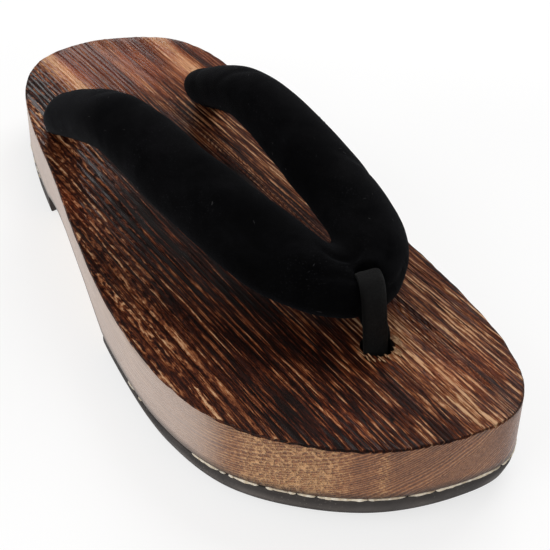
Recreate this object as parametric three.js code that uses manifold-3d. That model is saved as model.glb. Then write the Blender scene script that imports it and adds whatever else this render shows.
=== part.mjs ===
// A right-foot geta sandal: one block of wood with a scooped arch, a rubber pad under the
// forefoot and one under the heel, a padded V-shaped strap, and a flat toe thong that loops
// over the strap's front and goes down one hole in the block.
//
// Millimetres. +Z is up, the toe points along -Y, the heel along +Y, and +X is the big-toe side.
// The origin is under the middle of the block, on the surface that the pads stand on.

import * as THREE from 'three';
import { mergeVertices } from 'three/addons/utils/BufferGeometryUtils.js';
import Module from 'manifold-3d';

const wasm = await Module();
wasm.setup();

// ---- Driving dimensions ----

const LENGTH = 270;
const CLEARANCE = 0.3; // air left between two pieces that touch

const TOP_Z = 25.5; // foot bed at mid length
const TOP_TILT = 0.5; // extra height at the heel end, less at the toe end
const TOP_DISH = 3.9; // how far both ends rise over the middle
const TOP_TOE_KICK = -1.3; // cubic share that lifts the toe more than the heel

const PAD_THICK = 6.9;
const FORE_PAD_BEVEL = 1.6; // inset of the tread's rim from the block's side
const HEEL_PAD_BEVEL = 0.7;
const PAD_WALL_INSET = 0.2;
const PAD_BEVEL_Z = 4.3; // height at which the bevel ends
const FORE_PAD_REAR_Y = -29.8;
const HEEL_PAD_FRONT_Y = 56.7;
const TOE_SPRING = 5; // rise of the tread at the toe's tip
const TOE_SPRING_START_Y = -68;
const ARCH_RISE = 6.5; // how far the scoop rises over the pads' top

const STRAP_HOLE_R = 5.6;
const STRAP_TAIL_R = 5.0;
const TAIL_BOTTOM_Z = 9;
const THONG_HOLE = { x: 15.1, y: -89.1, r: 5.2 };
const THONG_WIDTH = 7.6;
const THONG_THICK = 1.8;
const THONG_BOTTOM_Z = 10;

const RING_POINTS = 132;
const PROFILE_STEPS = 44;
const ARM_STEPS = 40;
const ARM_SIDES = 24;
const THONG_STEPS = 64;
const OVERSHOOT = 12; // how far cutting bodies reach past the block
const SLOPE_STEP = 0.004; // share of an arm over which its direction is read
const UP = new THREE.Vector3(0, 0, 1);

// Plan outline of the block: half-breadths to either side of the centre line at stations
// along the length. It is wider at the ball and its toe leans to the big-toe side.
const OUTLINE = [
  { y: -132, left: -3.2, right: 35.0 },
  { y: -122, left: -21.1, right: 44.6 },
  { y: -104, left: -38.5, right: 50.3 },
  { y: -78, left: -48.3, right: 52.1 },
  { y: -40, left: -52.1, right: 50.4 },
  { y: 0, left: -50.9, right: 49.1 },
  { y: 40, left: -47.9, right: 45.9 },
  { y: 80, left: -45.7, right: 42.2 },
  { y: 104, left: -42.0, right: 38.6 },
  { y: 118, left: -36.4, right: 32.6 },
  { y: 128, left: -27.6, right: 23.0 },
];
const TOE_TIP = { x: 17.0, y: -LENGTH / 2 };
const HEEL_TIP = { x: -5.2, y: LENGTH / 2 };

// The strap's two arms, from the rear holes to the join at the front. Both arms share their
// height, section and lean; leftX/leftY and rightX/rightY place each arm's centre line.
// half_w and half_t are half the section's breadth and thickness; lean turns the broad face
// outwards, in degrees.
const ARM_ROWS = [
  { leftX: -34.2, leftY: 73.4, rightX: 24.0, rightY: 73.4, z: 26.2, half_w: 4.5, half_t: 4.4, lean: 10 },
  { leftX: -35.7, leftY: 70.4, rightX: 22.4, rightY: 70.6, z: 29.7, half_w: 6.6, half_t: 4.9, lean: 25 },
  { leftX: -37.6, leftY: 60.6, rightX: 17.2, rightY: 61.1, z: 36.9, half_w: 7.8, half_t: 5.6, lean: 31 },
  { leftX: -38.3, leftY: 45.9, rightX: 14.9, rightY: 45.9, z: 45.8, half_w: 8.7, half_t: 6.9, lean: 31 },
  { leftX: -30.3, leftY: 14.3, rightX: 18.7, rightY: 15.8, z: 56.4, half_w: 10.9, half_t: 8.8, lean: 29 },
  { leftX: -19.5, leftY: -21.1, rightX: 24.2, rightY: -20.1, z: 51.6, half_w: 12.3, half_t: 10.0, lean: 26 },
  { leftX: -6.4, leftY: -54.1, rightX: 26.7, rightY: -55.4, z: 45.0, half_w: 12.9, half_t: 9.2, lean: 27 },
  { leftX: 4.2, leftY: -71.6, rightX: 19.4, rightY: -72.6, z: 41.3, half_w: 10.7, half_t: 8.3, lean: 20 },
  { leftX: 14.4, leftY: -80.8, rightX: 10.8, rightY: -81.0, z: 40.5, half_w: 7.7, half_t: 7.7, lean: 0 },
];

// The thong's side view, in its own plane: up from the hole, round the strap's front and top,
// down behind the join, forward under it, and down the hole again.
const THONG_ROUTE = [
  { y: -90.3, z: THONG_BOTTOM_Z },
  { y: -90.4, z: 22 },
  { y: -91.0, z: 31 },
  { y: -91.3, z: 39 },
  { y: -89.4, z: 46.6 },
  { y: -83.4, z: 50.6 },
  { y: -76.8, z: 48.6 },
  { y: -73.6, z: 43 },
  { y: -75.2, z: 36.4 },
  { y: -80.8, z: 31.9 },
  { y: -86.2, z: 28.6 },
  { y: -87.8, z: 22 },
  { y: -87.9, z: THONG_BOTTOM_Z },
];

// ---- Shared geometry ----

function smoothRise(y) {
  const past = Math.max(0, (TOE_SPRING_START_Y - y) / (TOE_SPRING_START_Y + LENGTH / 2));
  return TOE_SPRING * past * past;
}

function topZ(y) {
  const u = y / (LENGTH / 2);
  return TOP_Z + TOP_TILT * u + TOP_DISH * u * u + TOP_TOE_KICK * u * u * u;
}

function archZ(y) {
  const middle = (FORE_PAD_REAR_Y + HEEL_PAD_FRONT_Y) / 2;
  const half = (HEEL_PAD_FRONT_Y - FORE_PAD_REAR_Y) / 2;
  const t = (y - middle) / half;
  return PAD_THICK + ARCH_RISE * (1 - t * t);
}

function steps(from, to, count) {
  return Array.from({ length: count + 1 }, (_, i) => from + ((to - from) * i) / count);
}

// The closed plan outline, anticlockwise seen from above, centred on the origin.
function outlineRing() {
  const left = OUTLINE.map((row) => new THREE.Vector3(row.left, row.y, 0));
  const right = OUTLINE.map((row) => new THREE.Vector3(row.right, row.y, 0));
  const toe = new THREE.Vector3(TOE_TIP.x, TOE_TIP.y, 0);
  const heel = new THREE.Vector3(HEEL_TIP.x, HEEL_TIP.y, 0);
  const curve = new THREE.CatmullRomCurve3([toe, ...right, heel, ...left.reverse()], true, 'centripetal');
  const ring = curve.getSpacedPoints(RING_POINTS).slice(0, RING_POINTS);
  const box = new THREE.Box3().setFromPoints(ring);
  const centre = box.getCenter(new THREE.Vector3());
  return ring.map((p) => new THREE.Vector2(p.x - centre.x, p.y - centre.y));
}

// The outline moved inwards along its own normals.
function insetRing(ring, inset) {
  return ring.map((p, i) => {
    const before = ring[(i + ring.length - 1) % ring.length];
    const after = ring[(i + 1) % ring.length];
    const along = after.clone().sub(before).normalize();
    return new THREE.Vector2(p.x - along.y * inset, p.y + along.x * inset);
  });
}

// A closed body from rings of equal length; the two end rings are capped.
function ringBody(rings) {
  const count = rings[0].length;
  const position = rings.flatMap((ring) => ring.flatMap((p) => [p.x, p.y, p.z]));
  const index = [];
  for (let level = 0; level + 1 < rings.length; level += 1) {
    for (let i = 0; i < count; i += 1) {
      const a = level * count + i;
      const b = level * count + ((i + 1) % count);
      index.push(a, b, b + count, a, b + count, a + count);
    }
  }
  const flatEnd = (ring) => {
    const [u, v] = planeAxes(ring);
    return ring.map((p) => new THREE.Vector2(p.dot(u), p.dot(v)));
  };
  const last = (rings.length - 1) * count;
  for (const [a, b, c] of THREE.ShapeUtils.triangulateShape(flatEnd(rings[0]), [])) index.push(a, c, b);
  for (const [a, b, c] of THREE.ShapeUtils.triangulateShape(flatEnd(rings.at(-1)), [])) {
    index.push(last + a, last + b, last + c);
  }
  const geometry = new THREE.BufferGeometry();
  geometry.setAttribute('position', new THREE.Float32BufferAttribute(position, 3));
  geometry.setIndex(index);
  return solidOf(geometry);
}

// Two axes in a ring's plane, turned so that the ring runs anticlockwise in them.
function planeAxes(ring) {
  const centre = ring.reduce((sum, p) => sum.add(p), new THREE.Vector3()).divideScalar(ring.length);
  const u = ring[0].clone().sub(centre).normalize();
  const normal = new THREE.Vector3();
  ring.forEach((p, i) => {
    const next = ring[(i + 1) % ring.length];
    normal.add(p.clone().sub(centre).cross(next.clone().sub(centre)));
  });
  return [u, normal.normalize().cross(u)];
}

function solidOf(geometry) {
  const bare = geometry.clone();
  bare.deleteAttribute('normal');
  bare.deleteAttribute('uv');
  const merged = mergeVertices(bare, 1e-4);
  return new wasm.Manifold(
    new wasm.Mesh({
      numProp: 3,
      vertProperties: new Float32Array(merged.attributes.position.array),
      triVerts: new Uint32Array(merged.index.array),
    }),
  );
}

function geometryOf(solid) {
  const mesh = solid.getMesh();
  const geometry = new THREE.BufferGeometry();
  geometry.setAttribute('position', new THREE.BufferAttribute(new Float32Array(mesh.vertProperties), 3));
  geometry.setIndex(new THREE.BufferAttribute(new Uint32Array(mesh.triVerts), 1));
  geometry.computeVertexNormals();
  return geometry;
}

// A side-view outline in y and z, pushed across the whole width of the sandal.
function sideProfile(points) {
  const shape = new THREE.Shape(points.map(([y, z]) => new THREE.Vector2(y, z)));
  const depth = LENGTH;
  const geometry = new THREE.ExtrudeGeometry(shape, { depth, bevelEnabled: false });
  geometry.translate(0, 0, -depth / 2);
  geometry.rotateX(Math.PI / 2).rotateZ(Math.PI / 2);
  return solidOf(geometry);
}

function drill(x, y, radius, bottom, top) {
  const geometry = new THREE.CylinderGeometry(radius, radius, top - bottom, 32);
  geometry.rotateX(Math.PI / 2).translate(x, y, (top + bottom) / 2);
  return solidOf(geometry);
}

// The outline as an upright wall whose inset follows the levels; it bends up with the toe.
function outlineWall(levels) {
  const ring = outlineRing();
  return ringBody(
    levels.map(({ z, inset }) =>
      insetRing(ring, inset).map((p) => new THREE.Vector3(p.x, p.y, z + smoothRise(p.y))),
    ),
  );
}

// ---- Wooden base ----

function woodBase() {
  const end = LENGTH / 2 + OVERSHOOT;
  const top = steps(-end, end, PROFILE_STEPS).map((y) => [y, topZ(y)]);
  const heel = [[end, PAD_THICK]];
  const arch = steps(HEEL_PAD_FRONT_Y, FORE_PAD_REAR_Y, PROFILE_STEPS / 2).map((y) => [y, archZ(y)]);
  const toe = steps(TOE_SPRING_START_Y, -end, PROFILE_STEPS / 2).map((y) => [y, PAD_THICK + smoothRise(y)]);
  const side = sideProfile([...top, ...heel, ...arch, ...toe]);
  const wall = outlineWall([{ z: -OVERSHOOT, inset: 0 }, { z: 3 * OVERSHOOT, inset: 0 }]);
  const rear = ARM_ROWS[0];
  return wall
    .intersect(side)
    .subtract(drill(THONG_HOLE.x, THONG_HOLE.y, THONG_HOLE.r, -OVERSHOOT, 4 * OVERSHOOT))
    .subtract(drill(rear.leftX, rear.leftY, STRAP_HOLE_R, -OVERSHOOT, 4 * OVERSHOOT))
    .subtract(drill(rear.rightX, rear.rightY, STRAP_HOLE_R, -OVERSHOOT, 4 * OVERSHOOT));
}

// ---- Rubber pads ----

function pad(yFrom, yTo, bevel) {
  const roof = PAD_THICK - CLEARANCE;
  const rows = steps(yFrom, yTo, PROFILE_STEPS);
  const bottom = rows.map((y) => [y, smoothRise(y)]);
  const top = [...rows].reverse().map((y) => [y, roof + smoothRise(y)]);
  const wall = outlineWall([
    { z: -OVERSHOOT, inset: bevel },
    { z: 0, inset: bevel },
    { z: PAD_BEVEL_Z, inset: PAD_WALL_INSET },
    { z: 2 * OVERSHOOT, inset: PAD_WALL_INSET },
  ]);
  return wall.intersect(sideProfile([...bottom, ...top]));
}

// ---- Strap ----

// A smooth value read from one column of the arm table at t from 0 to 1.
function column(name, t) {
  const last = ARM_ROWS.length - 1;
  const i = Math.min(Math.floor(t * last), last - 1);
  const at = (k) => ARM_ROWS[Math.min(Math.max(k, 0), last)][name];
  const f = t * last - i;
  const [a, b, c, d] = [at(i - 1), at(i), at(i + 1), at(i + 2)];
  return 0.5 * (2 * b + (c - a) * f + (2 * a - 5 * b + 4 * c - d) * f * f + (3 * b - a - 3 * c + d) * f ** 3);
}

function armCentre(side, t) {
  return new THREE.Vector3(column(`${side}X`, t), column(`${side}Y`, t), column('z', t));
}

// One elliptical section of an arm, square to the centre line and leaning outwards.
function armRing(side, t) {
  const centre = armCentre(side, t);
  const ahead = armCentre(side, Math.min(1, t + SLOPE_STEP));
  const behind = armCentre(side, Math.max(0, t - SLOPE_STEP));
  const along = ahead.sub(behind).normalize();
  const turn = side === 'left' ? 1 : -1;
  const outward = along.clone().cross(UP).normalize().multiplyScalar(turn);
  const upward = outward.clone().cross(along).multiplyScalar(turn);
  const lean = THREE.MathUtils.degToRad(column('lean', t));
  const broad = outward.clone().multiplyScalar(Math.cos(lean)).addScaledVector(upward, -Math.sin(lean));
  const thick = upward.clone().multiplyScalar(Math.cos(lean)).addScaledVector(outward, Math.sin(lean));
  return steps(0, 2 * Math.PI, ARM_SIDES)
    .slice(0, ARM_SIDES)
    .map((angle) =>
      centre
        .clone()
        .addScaledVector(broad, column('half_w', t) * Math.cos(angle))
        .addScaledVector(thick, -turn * column('half_t', t) * Math.sin(angle)),
    );
}

function arm(side) {
  const rings = steps(0, 1, ARM_STEPS).map((t) => armRing(side, t));
  return ringBody(rings);
}

function strap(thongRoom) {
  const end = LENGTH / 2 + OVERSHOOT;
  const rows = steps(-end, end, PROFILE_STEPS);
  const floor = rows.map((y) => [y, topZ(y) - 2 * OVERSHOOT]);
  const bed = [...rows].reverse().map((y) => [y, topZ(y) + CLEARANCE]);
  const rear = ARM_ROWS[0];
  const tailTop = topZ(rear.leftY) + STRAP_TAIL_R;
  return arm('left')
    .add(arm('right'))
    .subtract(sideProfile([...floor, ...bed]))
    .add(drill(rear.leftX, rear.leftY, STRAP_TAIL_R, TAIL_BOTTOM_Z, tailTop))
    .add(drill(rear.rightX, rear.rightY, STRAP_TAIL_R, TAIL_BOTTOM_Z, tailTop))
    .subtract(thongRoom);
}

// ---- Toe thong ----

function thong(room) {
  const route = THONG_ROUTE.map(({ y, z }) => new THREE.Vector3(THONG_HOLE.x, y, z));
  const path = new THREE.CatmullRomCurve3(route, false, 'centripetal');
  const halfThick = THONG_THICK / 2 + room;
  const halfWidth = THONG_WIDTH / 2 + room;
  const round = THONG_THICK / 3;
  const corners = [
    [-halfWidth + round, -halfThick],
    [halfWidth - round, -halfThick],
    [halfWidth, -halfThick + round],
    [halfWidth, halfThick - round],
    [halfWidth - round, halfThick],
    [-halfWidth + round, halfThick],
    [-halfWidth, halfThick - round],
    [-halfWidth, -halfThick + round],
  ];
  const section = new THREE.Shape(corners.map(([x, y]) => new THREE.Vector2(x, y)));
  const geometry = new THREE.ExtrudeGeometry(section, { steps: THONG_STEPS, extrudePath: path });
  return solidOf(geometry);
}

// ---- Assembly ----

const materials = {
  wood: new THREE.MeshStandardMaterial({ color: 0x6b452e, roughness: 0.45, metalness: 0 }),
  rubber: new THREE.MeshStandardMaterial({ color: 0x232323, roughness: 0.8, metalness: 0 }),
  padded: new THREE.MeshStandardMaterial({ color: 0x0f0f12, roughness: 0.95, metalness: 0 }),
  band: new THREE.MeshStandardMaterial({ color: 0x1a191b, roughness: 0.7, metalness: 0 }),
};

function piece(name, solid, material) {
  const mesh = new THREE.Mesh(geometryOf(solid), material);
  mesh.name = name;
  return mesh;
}

const sandal = new THREE.Group();
sandal.add(piece('wood_base', woodBase(), materials.wood));
sandal.add(piece('forefoot_pad', pad(-LENGTH / 2 - OVERSHOOT, FORE_PAD_REAR_Y, FORE_PAD_BEVEL), materials.rubber));
sandal.add(piece('heel_pad', pad(HEEL_PAD_FRONT_Y, LENGTH / 2 + OVERSHOOT, HEEL_PAD_BEVEL), materials.rubber));
sandal.add(piece('strap_upper', strap(thong(CLEARANCE)), materials.padded));
sandal.add(piece('toe_thong', thong(0), materials.band));

export default sandal;
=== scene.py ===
"""Looks of a right-foot geta sandal: a scorched and brushed wooden block with a scooped arch, two
rubber treads glued under it, a padded velvet strap and a flat cloth thong that holds it down.

Shapes are worked out in millimetres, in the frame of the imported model, and put into meshes in metres.
"""
import math

import bmesh
import bpy
import numpy as np
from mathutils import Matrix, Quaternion, Vector


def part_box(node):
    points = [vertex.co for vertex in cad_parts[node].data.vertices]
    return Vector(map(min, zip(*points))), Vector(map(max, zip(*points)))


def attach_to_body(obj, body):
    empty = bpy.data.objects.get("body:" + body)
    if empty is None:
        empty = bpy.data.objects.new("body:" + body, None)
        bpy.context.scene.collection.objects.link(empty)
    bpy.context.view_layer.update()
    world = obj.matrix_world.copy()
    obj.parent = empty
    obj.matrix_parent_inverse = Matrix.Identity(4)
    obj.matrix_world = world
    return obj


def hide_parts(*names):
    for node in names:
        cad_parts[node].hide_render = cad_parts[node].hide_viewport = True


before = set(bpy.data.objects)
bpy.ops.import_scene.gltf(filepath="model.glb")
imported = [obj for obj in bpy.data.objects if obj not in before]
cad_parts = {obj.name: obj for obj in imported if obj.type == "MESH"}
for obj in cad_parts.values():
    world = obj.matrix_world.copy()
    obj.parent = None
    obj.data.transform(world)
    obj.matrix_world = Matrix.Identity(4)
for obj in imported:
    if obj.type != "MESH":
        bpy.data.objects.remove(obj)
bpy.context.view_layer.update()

MM = 0.001
MERGE_WITHIN = 1e-6  # metres


def node_box(node):
    """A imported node's lowest and highest corners, in millimetres."""
    return [np.array(corner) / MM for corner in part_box(node)]


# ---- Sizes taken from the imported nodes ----

WOOD_LOW, WOOD_HIGH = node_box("wood_base")
HEEL_LOW, HEEL_HIGH = node_box("heel_pad")
HALF = (WOOD_HIGH[1] - WOOD_LOW[1]) / 2
WOOD_BOTTOM = WOOD_LOW[2]
PAD_ROOF = HEEL_HIGH[2]
FORE_PAD_REAR_Y = node_box("forefoot_pad")[1][1]
HEEL_PAD_FRONT_Y = HEEL_LOW[1]

# ---- Sizes repeated from the design, in millimetres ----

TOP_Z, TOP_TILT, TOP_DISH, TOP_TOE_KICK = 25.5, 0.5, 3.9, -1.3
TOE_SPRING, TOE_SPRING_START_Y = 5.0, -68.0
ARCH_RISE = 6.5
PAD_BEVEL_Z, PAD_WALL_INSET = 4.3, 0.2
FORE_PAD_BEVEL, HEEL_PAD_BEVEL = 1.6, 0.7
REAR_HOLES = ((-34.2, 73.4), (24.0, 73.4))
REAR_HOLE_R, TAIL_R, TAIL_BOTTOM = 5.6, 5.0, 9.0
FRONT_HOLE, FRONT_HOLE_R = (15.1, -89.1), 5.2

# Half-breadths of the plan outline: y, left, right.
OUTLINE = (
    (-132, -3.2, 35.0), (-122, -21.1, 44.6), (-104, -38.5, 50.3), (-78, -48.3, 52.1),
    (-40, -52.1, 50.4), (0, -50.9, 49.1), (40, -47.9, 45.9), (80, -45.7, 42.2),
    (104, -42.0, 38.6), (118, -36.4, 32.6), (128, -27.6, 23.0),
)
TOE_TIP, HEEL_TIP = (17.0, -135.0), (-5.2, 135.0)

# The strap's arms from the rear holes to the join: left x, left y, right x, right y, height,
# half breadth, half thickness, lean of the broad face in degrees.
ARM_ROWS = (
    (-34.2, 73.4, 24.0, 73.4, 26.2, 4.5, 4.4, 10),
    (-35.7, 70.4, 22.4, 70.6, 29.7, 6.6, 4.9, 25),
    (-37.6, 60.6, 17.2, 61.1, 36.9, 7.8, 5.6, 31),
    (-38.3, 45.9, 14.9, 45.9, 45.8, 8.7, 6.9, 31),
    (-30.3, 14.3, 18.7, 15.8, 56.4, 10.9, 8.8, 29),
    (-19.5, -21.1, 24.2, -20.1, 51.6, 12.3, 10.0, 26),
    (-6.4, -54.1, 26.7, -55.4, 45.0, 12.9, 9.2, 27),
    (4.2, -71.6, 19.4, -72.6, 41.3, 10.7, 8.3, 20),
    (14.4, -80.8, 10.8, -81.0, 40.5, 7.7, 7.7, 0),
)

# The thong's route: sideways slip from the hole's middle, y, z. The returning strand lies a
# little to the big-toe side of the rising one.
THONG_ROUTE = (
    (-0.8, -90.6, 10.0), (-1.2, -90.8, 22.0), (-1.8, -90.8, 31.0), (-2.1, -90.0, 38.6),
    (-1.8, -87.9, 44.2), (-1.0, -84.6, 47.0), (0.0, -80.0, 47.0), (0.8, -76.4, 43.2),
    (1.4, -75.8, 36.6), (1.8, -80.8, 31.9), (1.5, -86.2, 28.6), (0.8, -87.8, 22.0),
    (0.5, -87.9, 10.0),
)
THONG_WIDTH, THONG_THICK = 7.9, 1.8

# ---- The tree that the block was cut from ----

GRAIN_LEAN, GRAIN_BEND = 0.15, 0.00015  # the grain leans to the big-toe side, more so at the heel
HEART_X, HEART_HEIGHT = -95.0, 150.0  # the tree's heart, from the foot bed's middle
RING_PITCH = 0.9
RELIEF_DEPTH = 0.5  # what the wire brush took out between two hard rings
RING_STRENGTHS = 512  # as many rings differ in strength before they repeat

# ---- Burnt and worn places, with painted shade and painted sheen among them: strength, middle, radii across and along, seed ----

# The forefoot's middle patch is part scorch, part painted shade of the strap; the last two, between the
# strap's arms and under its left arm, are painted shade of the strap.
BURNT_AND_SHADED_BED = (
    (0.95, -41, 104, 11, 34, 31), (0.55, -5, -60, 17, 42, 32), (0.5, -22, -112, 10, 20, 33),
    (0.3, 22, 118, 13, 18, 34), (0.6, -4, 15, 24, 58, 37), (0.65, -27, 5, 13, 50, 38),
)
BURNT_ARCH = ((1, 16, 4, 38, 17, 35), (0.8, 44, -4, 14, 24, 36))
# The fifth patch, broad over the whole heel, lightens it as painted sheen; the others are worn, paler wood.
WORN_AND_SHEEN_BED = (
    (1, -19, 112, 8, 24, 41), (0.85, 6, 106, 17, 28, 42), (0.7, -49, 35, 4, 42, 43),
    (0.4, 31, -108, 14, 16, 44), (0.5, 4, 112, 46, 34, 47), (0.35, -8, -116, 14, 12, 45),
)


# ---- Numbers: noise, curves, tables ----

def noise2(seed, u, v):
    """Random heights from -1 to 1 on a whole-number lattice, eased between its corners."""
    side = 64
    table = np.random.default_rng(seed).uniform(-1, 1, (side, side))
    iu, iv = np.floor(u).astype(int), np.floor(v).astype(int)
    fu, fv = u - iu, v - iv
    fu, fv = fu * fu * (3 - 2 * fu), fv * fv * (3 - 2 * fv)
    near = table[iu % side, iv % side] * (1 - fu) + table[(iu + 1) % side, iv % side] * fu
    far = table[iu % side, (iv + 1) % side] * (1 - fu) + table[(iu + 1) % side, (iv + 1) % side] * fu
    return near * (1 - fv) + far * fv


def ease(low, high, value):
    """0 below low, 1 above high, and a smooth step between."""
    t = np.clip((value - low) / (high - low), 0, 1)
    return t * t * (3 - 2 * t)


def curve_through(points, per_span, closed):
    """Centripetal Catmull-Rom: each span is a cubic whose end slopes weigh the neighbouring
    chords by the square roots of their lengths. An open curve is first extended straight."""
    p = np.asarray(points, float)
    if not closed:
        p = np.vstack([2 * p[0] - p[1], p, 2 * p[-1] - p[-2]])
    before, after, beyond = np.roll(p, 1, 0), np.roll(p, -1, 0), np.roll(p, -2, 0)
    chord = np.sqrt(np.linalg.norm(after - p, axis=1))[:, None]
    behind, ahead = np.roll(chord, 1, 0), np.roll(chord, -1, 0)
    leave = ((p - before) / behind - (after - before) / (behind + chord)) * chord + (after - p)
    reach = ((beyond - after) / ahead - (beyond - p) / (chord + ahead)) * chord + (after - p)
    t = np.linspace(0, 1, per_span, endpoint=False)[:, None, None]
    rise = 3 * (after - p) - 2 * leave - reach
    spans = p + leave * t + rise * t**2 + (2 * (p - after) + leave + reach) * t**3
    spans = spans.transpose(1, 0, 2)
    if closed:
        return spans.reshape(-1, p.shape[1])
    return np.vstack([spans[1:-2].reshape(-1, p.shape[1]), p[-2]])


def table_at(rows, t):
    """Uniform Catmull-Rom down a table's rows with its ends held; t runs from 0 to 1."""
    rows = np.asarray(rows, float)
    last = len(rows) - 1
    at = np.clip(t, 0, 1) * last
    i = np.minimum(np.floor(at).astype(int), last - 1)
    f = (at - i)[..., None]
    a, b, c, d = (rows[np.clip(i + k, 0, last)] for k in (-1, 0, 1, 2))
    square = 2 * a - 5 * b + 4 * c - d
    return 0.5 * (2 * b + (c - a) * f + square * f**2 + (3 * b - a - 3 * c + d) * f**3)


def full_turn(count):
    """Equal angles round a circle."""
    return np.linspace(0, 2 * np.pi, count, endpoint=False)


def unit(vectors):
    return vectors / np.maximum(np.linalg.norm(vectors, axis=-1, keepdims=True), 1e-9)


# ---- The block's form ----

def outline_ring(per_span=90):
    """The plan outline, from the toe's tip round by the right side, centred on its own box and
    drawn to the block's half length."""
    right = [(r, y) for y, _, r in OUTLINE]
    left = [(l, y) for y, l, _ in reversed(OUTLINE)]
    ring = curve_through([TOE_TIP, *right, HEEL_TIP, *left], per_span, closed=True)
    ring -= (ring.min(0) + ring.max(0)) / 2
    ring *= HALF / ring[:, 1].max()
    return np.roll(ring, -int(np.argmin(ring[:, 1])), axis=0)


RING = outline_ring()
HEEL_AT = int(np.argmax(RING[:, 1]))
RIGHT_SIDE = RING[: HEEL_AT + 1]
LEFT_SIDE = np.vstack([RING[HEEL_AT:], RING[:1]])[::-1]


def breadths(y):
    """The outline's left and right x at y, by straight steps between its close points."""
    left = np.interp(y, LEFT_SIDE[:, 1], LEFT_SIDE[:, 0])
    right = np.interp(y, RIGHT_SIDE[:, 1], RIGHT_SIDE[:, 0])
    return left, right


SLOPE_Y = np.linspace(-HALF, HALF, 2001)
LEFT_SLOPE, RIGHT_SLOPE = (np.gradient(x, SLOPE_Y) for x in breadths(SLOPE_Y))


def edge_distance(x, y):
    """Distance to the outline: the sideways distance, shortened by the side's slope."""
    left, right = breadths(y)
    from_left = (x - left) / np.hypot(1, np.interp(y, SLOPE_Y, LEFT_SLOPE))
    from_right = (right - x) / np.hypot(1, np.interp(y, SLOPE_Y, RIGHT_SLOPE))
    return np.maximum(np.minimum(from_left, from_right), 0)


def top_height(y):
    """Foot bed: a parabola along the length, a slight tilt, and a cubic kick at the toe."""
    u = y / HALF
    return TOP_Z + TOP_TILT * u + TOP_DISH * u**2 + TOP_TOE_KICK * u**3


def toe_rise(y):
    """How far the tread bends up towards the toe: a parabola from where the spring starts."""
    return TOE_SPRING * np.clip((TOE_SPRING_START_Y - y) / (TOE_SPRING_START_Y + HALF), 0, None) ** 2


def underside_height(y):
    """The pads' seats, and between them a parabolic scoop for the arch."""
    middle = (FORE_PAD_REAR_Y + HEEL_PAD_FRONT_Y) / 2
    t = (y - middle) / (HEEL_PAD_FRONT_Y - middle)
    return WOOD_BOTTOM + toe_rise(y) + ARCH_RISE * np.clip(1 - t**2, 0, None)


def grain_x(x, y):
    """Place across the grain: x, sheared along the length and slightly bent."""
    return x + GRAIN_LEAN * y + GRAIN_BEND * y**2


def ring_count(x, y, z):
    """Growth rings between the tree's heart and a point: the distance from a heart that keeps
    its height over the foot bed, plus a slow wander along the grain, over the ring pitch."""
    across = grain_x(x, y)
    distance = np.hypot(across - HEART_X, HEART_HEIGHT + top_height(y) - z)
    uneven = 1.7 * noise2(10, distance / 6 + 3, 0 * y)
    wander = 0.6 * noise2(11, across / 17 + 9, y / 120 + 7) + 0.2 * noise2(12, across / 5 + 31, y / 34 + 13)
    return (distance + uneven + wander) / RING_PITCH


def heel_polish(x, y):
    """1 where the heel rubbed the foot bed smooth: its middle and big-toe side."""
    return ease(64, 98, y) * ease(-36, -18, grain_x(x, y) - 15)


def ring_relief(rings):
    """1 on a hard late ring, 0 in the soft wood between; every ring has its own strength."""
    strength = np.random.default_rng(5).uniform(0.35, 1, RING_STRENGTHS)
    whole = np.floor(rings).astype(int)
    return strength[whole % RING_STRENGTHS] * np.sin(np.pi * (rings - whole)) ** 2


def patch(x, y, cx, cy, rx, ry, seed):
    """A soft oval, 1 in its middle, with a frayed edge that runs along the grain."""
    across = grain_x(x, y) - grain_x(cx, cy)
    fray = 0.35 * noise2(seed, grain_x(x, y) / 3 + 20, y / 22 + 9)
    return 1 - ease(0.25, 1.15, np.hypot(across / rx, (y - cy) / ry) + fray)


def strongest(x, y, patches):
    """At each point, the strongest of several patches."""
    return np.max([strength * patch(x, y, *place) for strength, *place in patches], axis=0)


# ---- Meshes ----

def tube_faces(rows, sides, capped=True):
    """Quads between loops that close on themselves, and one many-sided face over each end."""
    ring = np.arange(rows * sides).reshape(rows, sides)
    beside = np.roll(ring, -1, axis=1)
    quads = np.stack([ring[:-1], beside[:-1], beside[1:], ring[1:]], axis=-1).reshape(-1, 4).tolist()
    return quads + [ring[0, ::-1].tolist(), ring[-1].tolist()] if capped else quads


def many_tubes(loops, capped=True):
    """Points and faces of several equal tubes: loops has axes tube, row, side, xyz."""
    count, rows, sides, _ = loops.shape
    faces = tube_faces(rows, sides, capped)
    step = rows * sides
    return loops.reshape(-1, 3), [[v + k * step for v in face] for k in range(count) for face in faces]


def write_back(bm, mesh):
    """Merges doubles, turns the normals outwards, and hands the faces to the mesh."""
    bmesh.ops.remove_doubles(bm, verts=bm.verts, dist=MERGE_WITHIN)
    bmesh.ops.recalc_face_normals(bm, faces=bm.faces)
    bm.to_mesh(mesh)
    bm.free()


def new_mesh(name, points, faces, surface=None):
    """A mesh from points in millimetres, with doubles merged and normals outwards."""
    mesh = bpy.data.meshes.new(name)
    mesh.from_pydata((np.asarray(points) * MM).tolist(), [], faces)
    if surface is not None:
        mesh.polygons.foreach_set("material_index", np.asarray(surface, np.int32))
    bm = bmesh.new()
    bm.from_mesh(mesh)
    write_back(bm, mesh)
    return mesh


def shade_smooth(mesh):
    mesh.polygons.foreach_set("use_smooth", np.ones(len(mesh.polygons), bool))


def new_piece(mesh, materials, smooth_below=40):
    """An object at the origin with its materials; edges sharper than the angle stay crisp."""
    piece = bpy.data.objects.new(mesh.name, mesh)
    bpy.context.scene.collection.objects.link(piece)
    shade_smooth(mesh)
    mesh.set_sharp_from_angle(angle=math.radians(smooth_below))
    for material in materials:
        mesh.materials.append(material)
    return piece


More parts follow.
